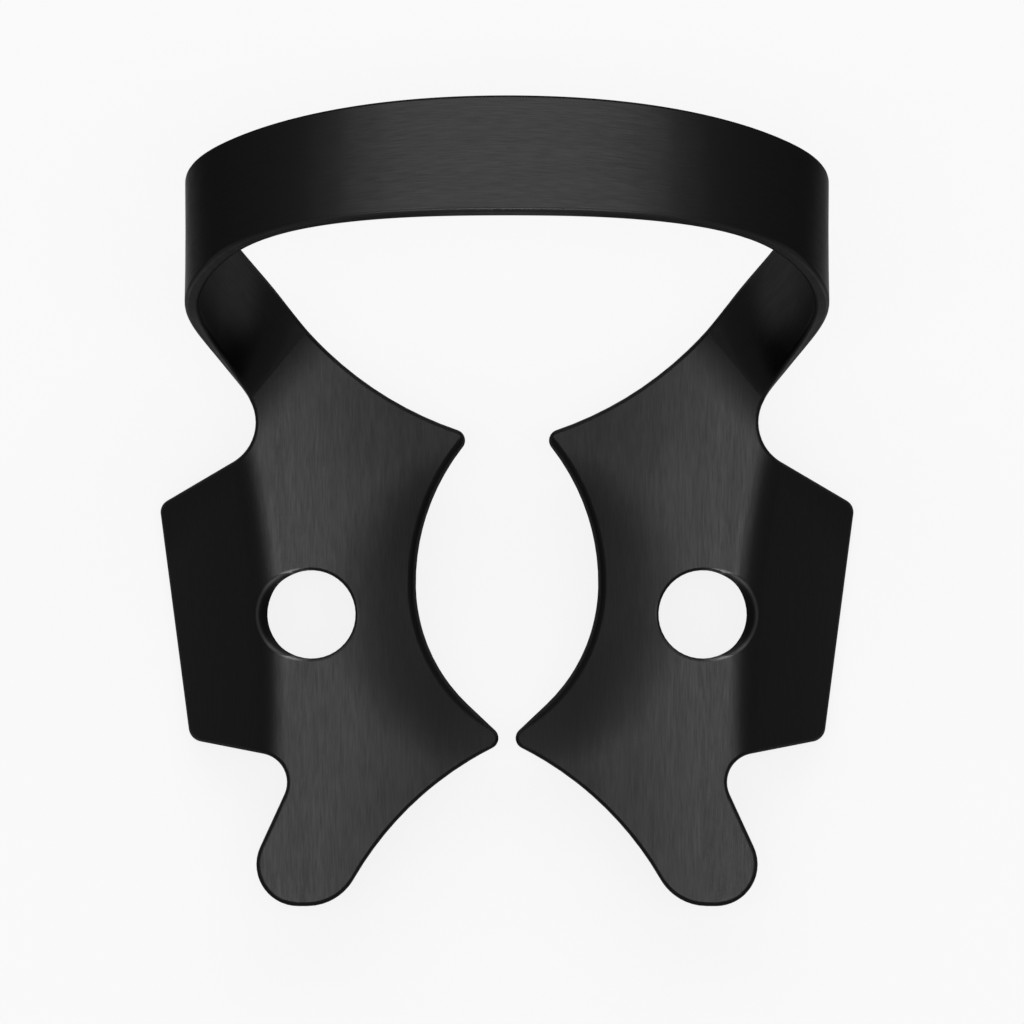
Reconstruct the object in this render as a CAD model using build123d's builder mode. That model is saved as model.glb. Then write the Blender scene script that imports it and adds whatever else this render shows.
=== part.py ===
from build123d import *
from math import cos, radians, sin
import os

# Spring sheet the clamp is punched and folded from
sheet_thickness = 0.5
rim_radius = 0.14
strap_rim_radius = 0.12
smooth_turn = 30

# Oversize sheet that the punched outline is cut from
blank_reach = 20
fold_reach = 12

# Bow, the arch that springs over the tooth and leans back from it
bow_half_span = 10.73
bow_rise = 6.94
bow_lean = 25
bow_front_y = 9.57
bow_front_height = 6.6
strap_width = 4.27
shoulder_waist = 0.24
bow_turns = (90, 60, 30, 0)
waist_shares = (0, 0.8, 1, 0)

# Leg from the widest part of the bow down to the jaw, points on its front and rear edge
leg_front = ((10.50, 8.62, 4.15), (9.74, 7.66, 1.48), (9.14, 6.95, 0.33))
leg_rear = ((10.25, 12.52, 3.50), (8.95, 11.00, 1.72), (7.75, 9.75, 0.38))

# Fold section across the jaw, from the tooth side out to the wing
fold_x = 7.503
fold_y = -0.112
fold_skew = 5.56
fold_radius = 42
fold_span = 12
notch_turn = 8.8
jaw_flat = 0.3
crown_radius = 22
crown_turn = 12
wing_bend_radius = 1.2
wing_turn = 40
lobe_turn = 1

# Neck between leg and wing
neck_x = 9.95
neck_y = 5.50
neck_radius = 1.53
neck_start = 151.4
neck_turn = 88.6

# Wing, notch and lobe corners before rounding
wing_front_corner = (11.66, 2.73)
wing_rear_corner = (10.63, -5.13)
notch_corner = (6.94, -5.83)
lobe_outer_corner = (9.18, -10.70)
lobe_inner_corner = (5.60, -10.70)
wing_front_radius = 0.45
wing_rear_radius = 0.5
notch_radius = 0.97
lobe_outer_radius = 1.4
lobe_inner_radius = 1.8

# Prongs and edges on the tooth side of the jaw
prong_low = (0.01, -5.18)
prong_low_side = (1.313, -3.947)
jaw_waist = (3.05, -0.03)
prong_high = (1.133, 5.083)
low_edge_middle = (3.633, -7.767)
high_edge_middle = (3.817, 6.233)
seam_rear = (6.68, 8.57)
prong_radius = 0.37

# Forceps hole
hole_x = 6.55
hole_y = -0.93
hole_radius = 1.475
hole_rim_radius = 0.1
hole_lean_start = -0.05
hole_lean_reach = 1.2
hole_lean = 50
hole_lean_width = 1.40

os.makedirs("parts", exist_ok=True)


def bow_point(turn, back):
    along = bow_rise * sin(radians(turn))
    return Vector(
        bow_half_span * cos(radians(turn)),
        bow_front_y + along * sin(radians(bow_lean)) + back * cos(radians(bow_lean)),
        bow_front_height + along * cos(radians(bow_lean)) - back * sin(radians(bow_lean)),
    )


# A rim is an edge where the sheet's face turns sharply into its cut side
def is_rim(edge, solid):
    normals = [face.normal_at(edge @ 0.5) for face in solid.faces() if edge in face.edges()]
    return len(normals) == 2 and normals[0].get_angle(normals[1]) > smooth_turn


# The fold runs in a slight arc, so its sections stand around a far upright axis
fold_centre = Vector(
    fold_x + fold_radius * cos(radians(fold_skew)),
    fold_y - fold_radius * sin(radians(fold_skew)),
    0,
)


# Section across the fold: a shallow crown towards the tooth, level, then the bend down outwards
def fold_section(along, turn):
    outward = Vector(cos(radians(along - fold_skew)), sin(radians(along - fold_skew)), 0)
    upright = Plane(
        origin=fold_centre - outward * fold_radius,
        x_dir=outward,
        z_dir=outward.cross(Axis.Z.direction),
    )
    with BuildSketch(upright) as section:
        with BuildLine():
            flat = Line((-jaw_flat, 0), (0, 0))
            bend = JernArc(flat @ 1, flat % 1, wing_bend_radius, -turn)
            PolarLine(bend @ 1, fold_reach, direction=bend % 1)
            crown = JernArc(flat @ 0, -(flat % 0), crown_radius, crown_turn)
            PolarLine(crown @ 1, fold_reach, direction=crown % 1)
            offset(amount=sheet_thickness, side=Side.LEFT)
        make_face()
    return section.sketch


with BuildPart() as jaw:
    # Folded sheet: the bend runs beside the wing and ends at the notch, so the lobe is level
    revolve(
        fold_section(notch_turn, wing_turn),
        axis=Axis(fold_centre, -Axis.Z.direction),
        revolution_arc=notch_turn + fold_span,
    )
    revolve(
        fold_section(notch_turn, lobe_turn),
        axis=Axis(fold_centre, Axis.Z.direction),
        revolution_arc=fold_span,
    )

    # Punched outline seen from above, round from the neck to the seam with the leg
    with BuildSketch(Plane.XY) as outline:
        with BuildLine():
            neck = CenterArc((neck_x, neck_y), neck_radius, neck_start, neck_turn)
            Polyline(
                neck @ 1,
                wing_front_corner,
                wing_rear_corner,
                notch_corner,
                lobe_outer_corner,
                lobe_inner_corner,
            )
            ThreePointArc(lobe_inner_corner, low_edge_middle, prong_low)
            prong_side = Line(prong_low, prong_low_side)
            tooth_edge = TangentArc(prong_side @ 1, jaw_waist, tangent=prong_side % 1)
            TangentArc(tooth_edge @ 1, prong_high, tangent=tooth_edge % 1)
            high_edge = ThreePointArc(prong_high, high_edge_middle, seam_rear)
            seam = Line(high_edge @ 1, neck @ 0)
        make_face()
        for corner, radius in (
            (wing_front_corner, wing_front_radius),
            (wing_rear_corner, wing_rear_radius),
            (notch_corner, notch_radius),
            (lobe_outer_corner, lobe_outer_radius),
            (lobe_inner_corner, lobe_inner_radius),
            (prong_low, prong_radius),
            (prong_high, prong_radius),
        ):
            fillet(outline.vertices().sort_by_distance(corner)[0], radius)
    extrude(amount=blank_reach, both=True, mode=Mode.INTERSECT)

    seam_face = jaw.faces().sort_by(lambda face: (face.center() - seam @ 0.5).length)[0]
    rims = [edge for edge in jaw.edges() if is_rim(edge, jaw.part)]
    fillet([edge for edge in rims if edge not in seam_face.edges()], rim_radius)

    # Forceps hole: straight through, and leaning with the sheet where the wing bends away
    with BuildSketch(Plane.XY):
        with Locations((hole_x, hole_y)):
            Circle(hole_radius)
    extrude(amount=blank_reach, both=True, mode=Mode.SUBTRACT)
    bore_rims = jaw.edges(Select.LAST)
    fillet([edge for edge in bore_rims if is_rim(edge, jaw.part)], hole_rim_radius)
    with BuildSketch(Plane.XY.offset(hole_lean_start)):
        with Locations((hole_x, hole_y)):
            Ellipse(hole_radius, hole_lean_width)
    extrude(
        amount=hole_lean_reach,
        dir=(sin(radians(hole_lean)), 0, cos(radians(hole_lean))),
        mode=Mode.SUBTRACT,
    )

with BuildPart() as strap:
    # Sheet ruled between its front and rear edge, from the middle of the bow to the seam
    bow_front = [
        bow_point(turn, shoulder_waist * share) for turn, share in zip(bow_turns, waist_shares)
    ]
    bow_rear = [bow_point(turn, strap_width) for turn in bow_turns]
    with BuildLine():
        front_edge = Spline(
            *bow_front,
            *leg_front,
            seam @ 1,
            tangents=(Axis.X.direction, neck % 0),
            tangent_scalars=(1, 1),
        )
        rear_edge = Spline(
            *bow_rear,
            *leg_rear,
            seam @ 0,
            tangents=(Axis.X.direction, -(high_edge % 1)),
            tangent_scalars=(1, 1),
        )
    thicken(Face.make_surface_from_curves(front_edge, rear_edge), amount=-sheet_thickness)
    long_edges = strap.edges().sort_by(SortBy.LENGTH)[-4:]
    fillet(long_edges, strap_rim_radius)

# Both halves are the same sheet, so they join into one solid
with BuildPart() as clamp:
    add(jaw.part)
    add(strap.part)
    mirror(about=Plane.YZ)

clamp.part.label = "clamp"
export_step(clamp.part, "parts/clamp.step")
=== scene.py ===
import math
import bpy
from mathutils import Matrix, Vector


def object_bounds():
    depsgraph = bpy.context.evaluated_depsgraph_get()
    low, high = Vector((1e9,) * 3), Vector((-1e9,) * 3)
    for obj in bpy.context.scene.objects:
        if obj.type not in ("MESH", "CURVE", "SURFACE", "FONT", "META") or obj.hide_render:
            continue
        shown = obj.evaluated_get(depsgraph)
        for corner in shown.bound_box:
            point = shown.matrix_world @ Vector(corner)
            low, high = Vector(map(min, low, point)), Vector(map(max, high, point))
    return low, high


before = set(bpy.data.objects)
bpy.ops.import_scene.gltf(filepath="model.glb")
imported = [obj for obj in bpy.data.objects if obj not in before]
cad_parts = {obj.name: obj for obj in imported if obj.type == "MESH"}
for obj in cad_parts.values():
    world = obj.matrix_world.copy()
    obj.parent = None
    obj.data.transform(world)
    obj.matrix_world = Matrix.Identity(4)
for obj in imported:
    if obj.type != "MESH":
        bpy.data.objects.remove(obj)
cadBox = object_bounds()
bpy.ops.object.select_all(action="DESELECT")
print("frame loaded:", len(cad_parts), "node")

mm = 0.001


# Small helpers for material nodes

def addNode(tree, kind, **settings):
    node = tree.nodes.new(kind)
    for name, value in settings.items():
        setattr(node, name, value)
    return node


def joinTo(tree, socket, value):
    if isinstance(value, bpy.types.NodeSocket):
        tree.links.new(value, socket)
    else:
        socket.default_value = value


def doMath(tree, operation, first, second):
    node = addNode(tree, "ShaderNodeMath", operation=operation)
    joinTo(tree, node.inputs[0], first)
    joinTo(tree, node.inputs[1], second)
    return node.outputs[0]


def dotWith(tree, vector, direction):
    node = addNode(tree, "ShaderNodeVectorMath", operation="DOT_PRODUCT")
    joinTo(tree, node.inputs[0], vector)
    node.inputs[1].default_value = direction
    return node.outputs["Value"]


def scaled(tree, vector, factor):
    node = addNode(tree, "ShaderNodeVectorMath", operation="SCALE")
    joinTo(tree, node.inputs[0], vector)
    joinTo(tree, node.inputs["Scale"], factor)
    return node.outputs[0]


def distanceTo(tree, point, centre):
    node = addNode(tree, "ShaderNodeVectorMath", operation="DISTANCE")
    joinTo(tree, node.inputs[0], point)
    node.inputs[1].default_value = centre
    return node.outputs["Value"]


def combine(tree, x, y, z):
    node = addNode(tree, "ShaderNodeCombineXYZ")
    for socket, value in zip(node.inputs, (x, y, z)):
        joinTo(tree, socket, value)
    return node.outputs[0]


def blend(tree, factor, first, second):
    node = addNode(tree, "ShaderNodeMix", data_type="FLOAT")
    joinTo(tree, node.inputs[0], factor)
    joinTo(tree, node.inputs[2], first)
    joinTo(tree, node.inputs[3], second)
    return node.outputs[0]


def mapRange(tree, value, low, high, outLow, outHigh, kind):
    node = addNode(tree, "ShaderNodeMapRange", interpolation_type=kind)
    joinTo(tree, node.inputs["Value"], value)
    numbers = {"From Min": low, "From Max": high, "To Min": outLow, "To Max": outHigh}
    for name, number in numbers.items():
        node.inputs[name].default_value = number
    return node.outputs["Result"]


def ramp(tree, value, low, high, outLow=0.0, outHigh=1.0):
    return mapRange(tree, value, low, high, outLow, outHigh, "SMOOTHSTEP")


def straight(tree, value, low, high):
    return mapRange(tree, value, low, high, 0.0, 1.0, "LINEAR")


def stripe(tree, value, low, middle, high):
    # 1 at the middle, fading to 0 at both ends
    rise = ramp(tree, value, low, middle)
    return doMath(tree, "MULTIPLY", rise, ramp(tree, value, middle, high, 1.0, 0.0))


def noiseAt(tree, vector, detail, roughness=0.5):
    node = addNode(tree, "ShaderNodeTexNoise", noise_dimensions="3D")
    joinTo(tree, node.inputs["Vector"], vector)
    node.inputs["Scale"].default_value = 1.0
    node.inputs["Detail"].default_value = detail
    node.inputs["Roughness"].default_value = roughness
    return node.outputs["Fac"]


def emissionOnly(name, strength):
    material = bpy.data.materials.new(name)
    material.use_nodes = True
    tree = material.node_tree
    tree.nodes.clear()
    output = addNode(tree, "ShaderNodeOutputMaterial")
    glow = addNode(tree, "ShaderNodeEmission")
    glow.inputs["Strength"].default_value = strength
    tree.links.new(glow.outputs[0], output.inputs["Surface"])
    return material, glow, output


# Black coating brushed along the sheet, lengths in millimetres
coating = {
    "name": "brushedBlackCoating",
    "colour": (0.030, 0.030, 0.031),
    "edgeTint": (0.43, 0.43, 0.43),   # how much grazing light it throws back
    "roughness": 0.37,
    "roughnessSpread": 0.06,
    "colourSpread": 0.085,
    "toneRange": (0.3, 0.7),          # part of the noise that counts
    "lineWidth": 0.036,               # fine brush lines
    "lineLength": 0.8,
    "lineHeight": 0.0008,
    "lineShare": 0.8,
    "bandWidth": 0.30,                # broader bands the brush left
    "bandLength": 7.0,
    "bandHeight": 0.0006,
    "bandShare": 0.2,
    "brushDetail": 2.5,
    "brushRoughness": 0.6,
    "grainSize": 0.035,               # tooth of the coating itself
    "grainHeight": 0.0006,
    "grainDetail": 2.0,
    "waveSize": 4.5,                  # slow unevenness from the forming
    "waveHeight": 0.045,
    "waveDetail": 1.0,
}

# Which way the brush went, on the right half: level jaws, twisting leg, leaning bow
brush = {
    "bowLean": 25,
    "legAcross": (-0.546, 0.796, -0.260),
    "legAlong": (-0.505, -0.560, -0.659),
    "legShift": 7.3,                  # so both legs differ
    "seamPoint": (6.68, 8.57, 0.0),
    "seamNormal": (0.772, 0.636, 0.0),
    "jawToLeg": (-0.8, 1.4),          # distance past the seam
    "legToBow": (2.6, 5.2),           # height
}

# What the press left on each jaw, seen from above on the right half
pressed = {
    "dishCentre": (0.0, -0.6, 0.0),   # shallow dish around the tooth
    "dishSpan": (1.8, 6.2),
    "dishDepth": 0.46,
    "lowEdge": ((-2.508, 0.091, 0.0), 5.560),   # tooth edge, centre and radius of each half
    "highEdge": ((-4.300, 0.130, 0.0), 7.352),
    "edgeChange": (-0.2, 0.2),        # where one edge takes over from the other
    "edgeReach": 0.29,                # rolled edge on the tooth side
    "edgeDrop": 0.095,
    "seamStart": -1.4,                # the jaw lifts softly towards the leg
    "seamEnd": 1.7,
    "seamSlope": 0.26,
    "seamTop": (6.0, 9.0),            # height above which the lift is level
}

# Painted highlights on the fold, the hole rim and the bow's front edge, and painted shade in the
# hole wall, as a share more light than the plain coating
paintedLightMarks = {
    "foldCentre": (49.305, -4.181, 0.0),        # line where the wing was bent, with a painted highlight along it
    "foldSpan": (41.70, 41.90, 42.12),
    "foldAlong": (-6.5, 0.0, 5.5),
    "foldPaintedHighlight": 0.30,
    "holeCentre": (6.88, -0.93, 0.0),           # painted highlight on the hole's rim
    "holeSpan": (1.40, 1.49, 1.57),
    "holeRimPaintedHighlight": 2.2,
    "holeWall": (1.35, 1.42),         # painted shade on the leaning wall inside that rim
    "holeWallX": (7.1, 7.5),
    "holeWallShade": 0.35,
    "frontEdge": 5.884,               # front edge of the bow, measured across the strap
    "frontWaist": 0.24,
    "frontWaistIn": (0.0, 7.0),
    "frontWaistOut": (9.4, 10.73),
    "frontRim": (0.02, 0.14),
    # strength of the painted highlight on the bow's front edge
    "frontEdgePaintedHighlight": 1.0,
}


def brushNoise(tree, look, across, along, layer, width, length):
    # Long thin noise: short period across the brush, long period along it
    across = doMath(tree, "DIVIDE", across, width)
    along = doMath(tree, "DIVIDE", along, length)
    vector = combine(tree, across, along, layer)
    return noiseAt(tree, vector, look["brushDetail"], look["brushRoughness"])


def seamLift(tree, press, pastSeam, z):
    # Height in shares of its rise: bends up before the seam and levels out after it
    span = press["seamEnd"] - press["seamStart"]
    share = -press["seamStart"] / span
    before = straight(tree, pastSeam, press["seamStart"], 0.0)
    after = straight(tree, pastSeam, press["seamEnd"], 0.0)
    lift = doMath(tree, "MULTIPLY", doMath(tree, "MULTIPLY", before, before), share)
    fall = doMath(tree, "SUBTRACT", 1.0, doMath(tree, "MULTIPLY", after, after))
    lift = doMath(tree, "ADD", lift, doMath(tree, "MULTIPLY", fall, 1.0 - share))
    lift = doMath(tree, "MAXIMUM", lift, ramp(tree, z, *press["seamTop"]))
    return lift, press["seamSlope"] * span / 2


def rolledEdge(tree, press, flatPoint, y):
    halves = []
    for centre, radius in (press["lowEdge"], press["highEdge"]):
        inward = doMath(tree, "SUBTRACT", distanceTo(tree, flatPoint, centre), radius)
        halves.append(ramp(tree, inward, 0.0, press["edgeReach"]))
    return blend(tree, ramp(tree, y, *press["edgeChange"]), *halves)


def paintedHighlightsAndShade(tree, paintedMarks, flatPoint, reach, y, bowAcross, onJaw, onBow):
    # 1 on the plain coating, more under the painted highlights and less under the painted shade in
    # the hole wall
    # painted highlight along the wing's fold line
    fold = stripe(tree, distanceTo(tree, flatPoint, paintedMarks["foldCentre"]), *paintedMarks["foldSpan"])
    fold = doMath(tree, "MULTIPLY", fold, stripe(tree, y, *paintedMarks["foldAlong"]))
    paintedLightFactor = doMath(tree, "MULTIPLY", fold, paintedMarks["foldPaintedHighlight"])

    # painted highlight around the hole's rim
    fromHole = distanceTo(tree, flatPoint, paintedMarks["holeCentre"])
    rim = stripe(tree, fromHole, *paintedMarks["holeSpan"])
    paintedLightFactor = doMath(tree, "ADD", paintedLightFactor, doMath(tree, "MULTIPLY", rim, paintedMarks["holeRimPaintedHighlight"]))
    # painted shade on the leaning wall inside the hole
    paintedWallShade = ramp(tree, fromHole, *paintedMarks["holeWall"], 1.0, 0.0)
    paintedWallShade = doMath(tree, "MULTIPLY", paintedWallShade, ramp(tree, reach, *paintedMarks["holeWallX"]))
    paintedLightFactor = doMath(tree, "SUBTRACT", paintedLightFactor, doMath(tree, "MULTIPLY", paintedWallShade, paintedMarks["holeWallShade"]))
    paintedLightFactor = doMath(tree, "ADD", doMath(tree, "MULTIPLY", paintedLightFactor, onJaw), 1.0)

    # Painted highlight along the bow's front edge, which draws back a little between its middle
    # and its shoulder
    waist = doMath(tree, "MULTIPLY", ramp(tree, reach, *paintedMarks["frontWaistIn"]), paintedMarks["frontWaist"])
    waist = doMath(tree, "MULTIPLY", waist, ramp(tree, reach, *paintedMarks["frontWaistOut"], 1.0, 0.0))
    behind = doMath(tree, "SUBTRACT", doMath(tree, "SUBTRACT", bowAcross, paintedMarks["frontEdge"]), waist)
    front = doMath(tree, "MULTIPLY", ramp(tree, behind, *paintedMarks["frontRim"], 1.0, 0.0), onBow)
    return doMath(tree, "ADD", paintedLightFactor, doMath(tree, "MULTIPLY", front, paintedMarks["frontEdgePaintedHighlight"]))


def makeCoating(look, way, press, paintedMarks):
    material = bpy.data.materials.new(look["name"])
    material.use_nodes = True
    tree = material.node_tree
    shader = tree.nodes["Principled BSDF"]

    place = addNode(tree, "ShaderNodeTexCoord").outputs["Object"]
    point = scaled(tree, place, 1 / mm)
    split = addNode(tree, "ShaderNodeSeparateXYZ")
    tree.links.new(point, split.inputs[0])
    x, y, z = split.outputs
    reach = doMath(tree, "ABSOLUTE", x, 0.0)
    folded = combine(tree, reach, y, z)      # right half and left half alike
    flatPoint = combine(tree, reach, y, 0.0)

    # Across and along the brush in each of the three stretches
    lean = math.radians(way["bowLean"])
    bowAcross = dotWith(tree, point, (0, math.cos(lean), -math.sin(lean)))
    bowUp = dotWith(tree, point, (0, math.sin(lean), math.cos(lean)))
    legAcross = dotWith(tree, folded, way["legAcross"])
    legAlong = dotWith(tree, folded, way["legAlong"])
    legLayer = doMath(tree, "MULTIPLY", doMath(tree, "SIGN", x, 0.0), way["legShift"])
    seamOffset = -sum(a * b for a, b in zip(way["seamPoint"], way["seamNormal"]))
    pastSeam = doMath(tree, "ADD", dotWith(tree, folded, way["seamNormal"]), seamOffset)
    onLeg = ramp(tree, pastSeam, *way["jawToLeg"])
    onJaw = doMath(tree, "SUBTRACT", 1.0, onLeg)
    onBow = ramp(tree, z, *way["legToBow"])

    def brushed(width, length):
        jawLayer = doMath(tree, "DIVIDE", z, width)
        bowLayer = doMath(tree, "DIVIDE", bowUp, length)
        jaw = brushNoise(tree, look, x, y, jawLayer, width, length)
        leg = brushNoise(tree, look, legAcross, legAlong, legLayer, width, length)
        bow = brushNoise(tree, look, bowAcross, x, bowLayer, width, length)
        return blend(tree, onBow, blend(tree, onLeg, jaw, leg), bow)

    lines = brushed(look["lineWidth"], look["lineLength"])
    bands = brushed(look["bandWidth"], look["bandLength"])
    grain = noiseAt(tree, scaled(tree, point, 1 / look["grainSize"]), look["grainDetail"])
    wave = noiseAt(tree, scaled(tree, point, 1 / look["waveSize"]), look["waveDetail"])

    # Colour: lines and bands lighten and darken the black a little
    lineTone = doMath(tree, "MULTIPLY", lines, look["lineShare"])
    tone = doMath(tree, "ADD", lineTone, doMath(tree, "MULTIPLY", bands, look["bandShare"]))
    spread = look["colourSpread"]
    shade = ramp(tree, tone, *look["toneRange"], 1 - spread, 1 + spread)
    # painted highlights and painted shade from the fold, the hole and the bow's front edge scale
    # the colour
    paintedLightFactor = paintedHighlightsAndShade(tree, paintedMarks, flatPoint, reach, y, bowAcross, onJaw, onBow)
    colour = scaled(tree, look["colour"], doMath(tree, "MULTIPLY", shade, paintedLightFactor))
    tree.links.new(colour, shader.inputs["Base Color"])

    # Roughness: the lines are a little glossier than the land between them
    low = look["roughness"] - look["roughnessSpread"] / 2
    high = look["roughness"] + look["roughnessSpread"] / 2
    roughness = ramp(tree, tone, *look["toneRange"], high, low)
    tree.links.new(roughness, shader.inputs["Roughness"])

    # Relief, each layer with its own height
    dish = ramp(tree, distanceTo(tree, flatPoint, press["dishCentre"]), *press["dishSpan"])
    layers = (
        (dish, press["dishDepth"]),
        (rolledEdge(tree, press, flatPoint, y), press["edgeDrop"]),
        seamLift(tree, press, pastSeam, z),
        (wave, look["waveHeight"]),
        (bands, look["bandHeight"]),
        (lines, look["lineHeight"]),
        (grain, look["grainHeight"]),
    )
    normal = None
    for height, size in layers:
        bump = addNode(tree, "ShaderNodeBump")
        bump.inputs["Strength"].default_value = 1.0
        bump.inputs["Distance"].default_value = size * mm
        tree.links.new(height, bump.inputs["Height"])
        if normal is not None:
            tree.links.new(normal, bump.inputs["Normal"])
        normal = bump.outputs[0]
    tree.links.new(normal, shader.inputs["Normal"])

    shader.inputs["Metallic"].default_value = 1.0
    shader.inputs["Specular Tint"].default_value = (*look["edgeTint"], 1)
    return material


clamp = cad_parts["clamp"]
coat = makeCoating(coating, brush, pressed, paintedLightMarks)
for slot in clamp.material_slots:
    slot.material = coat
print("coating on:", clamp.name)


paleFloor = {
    "name": "paleFloor",
    "size": 6.0,
    "colour": (0.93, 0.93, 0.93),
    "glow": 0.85,                     # share of plain white, the rest takes the shadow
}


def makeFloor(look, level):
    bpy.ops.mesh.primitive_plane_add(size=look["size"], location=(0, 0, level))
    floor = bpy.context.object
    floor.name = look["name"]
    material, glow, output = emissionOnly("palePaper", 1.0)
    tree = material.node_tree
    paper = addNode(tree, "ShaderNodeBsdfDiffuse")
    paper.inputs["Color"].default_value = (*look["colour"], 1)
    path = addNode(tree, "ShaderNodeLightPath").outputs
    seen = doMath(tree, "MAXIMUM", path["Is Camera Ray"], path["Is Glossy Ray"])
    seen = doMath(tree, "MAXIMUM", seen, path["Is Transmission Ray"])
    mix = addNode(tree, "ShaderNodeMixShader")
    tree.links.new(doMath(tree, "MULTIPLY", seen, look["glow"]), mix.inputs[0])
    tree.links.new(paper.outputs[0], mix.inputs[1])
    tree.links.new(glow.outputs[0], mix.inputs[2])
    tree.links.new(mix.outputs[0], output.inputs["Surface"])
    floor.data.materials.append(material)


makeFloor(paleFloor, cadBox[0].z)
print("floor laid")


# Glowing grey ring around the object, seen only in reflections on the sheet's sides, where it
# paints a dim reflection
greyScreen = {
    "name": "greyScreen",
    "sides": 96,
    "radius": 24 * mm,
    "centreY": 2.5 * mm,
    "top": 14 * mm,
    "grey": 0.22,
}


def makeScreen(look, level):
    bpy.ops.mesh.primitive_cylinder_add(
        vertices=look["sides"],
        radius=look["radius"],
        depth=look["top"] - level,
        end_fill_type="NOTHING",
        location=(0, look["centreY"], (look["top"] + level) / 2),
    )
    screen = bpy.context.object
    screen.name = look["name"]
    # emission only: a glowing grey that paints a dim reflection in the metal
    screen.data.materials.append(emissionOnly("dimReflectionGlow", look["grey"])[0])
    screen.visible_camera = False
    screen.visible_diffuse = False
    screen.visible_shadow = False


makeScreen(greyScreen, cadBox[0].z)
print("screen up")


# Softboxes with place, size and brightness, all turned to the object, lengths in metres
softboxes = {
    "leftStrip": ((-0.062, 0, 0.34), (0.085, 0.24), 2.75),      # beside the camera
    "rightStrip": ((0.062, 0, 0.34), (0.085, 0.24), 2.75),
    "backSoftbox": ((0, 0.42, 0.34), (0.70, 0.34), 2.15),       # mirrored by the leaning bow
    "frontFill": ((0, -0.55, 0.30), (0.5, 0.3), 0.2),
}


def addSoftbox(name, place, size, radiance):
    data = bpy.data.lights.new(name, "AREA")
    data.shape = "RECTANGLE"
    data.size, data.size_y = size
    data.energy = radiance * math.pi * size[0] * size[1]
    lamp = bpy.data.objects.new(name, data)
    bpy.context.scene.collection.objects.link(lamp)
    lamp.location = place
    lamp.rotation_euler = lamp.location.to_track_quat("Z", "Y").to_euler()
    lamp.visible_camera = False


for name, (place, size, radiance) in softboxes.items():
    addSoftbox(name, place, size, radiance)
print("softboxes hung:", len(softboxes))


studioAir = {
    "colour": (1.0, 1.0, 1.0),
    "strength": 0.20,
}

world = bpy.data.worlds.new("studioAir")
bpy.context.scene.world = world
world.use_nodes = True
sky = world.node_tree.nodes["Background"]
sky.inputs["Color"].default_value = (*studioAir["colour"], 1)
sky.inputs["Strength"].default_value = studioAir["strength"]
bpy.context.scene.view_settings.view_transform = "Standard"
print("world set")


# Camera straight above, far off with a long lens
camera = {
    "lens": 1300,
    "sensor": 36,
    "frameWidth": 34.133 * mm,        # real width across the picture
    "aim": (0.1667 * mm, 2.5 * mm, 6.0 * mm),
    "clipShares": (0.1, 10),          # of the distance to the object
}

cameraData = bpy.data.cameras.new("overhead")
cameraData.lens = camera["lens"]
cameraData.sensor_width = camera["sensor"]
overhead = bpy.data.objects.new("overhead", cameraData)
bpy.context.scene.collection.objects.link(overhead)
distance = camera["frameWidth"] * camera["lens"] / camera["sensor"]
aimX, aimY, aimZ = camera["aim"]
overhead.location = (aimX, aimY, aimZ + distance)
cameraData.clip_start, cameraData.clip_end = [distance * share for share in camera["clipShares"]]
bpy.context.scene.camera = overhead
print("camera set")
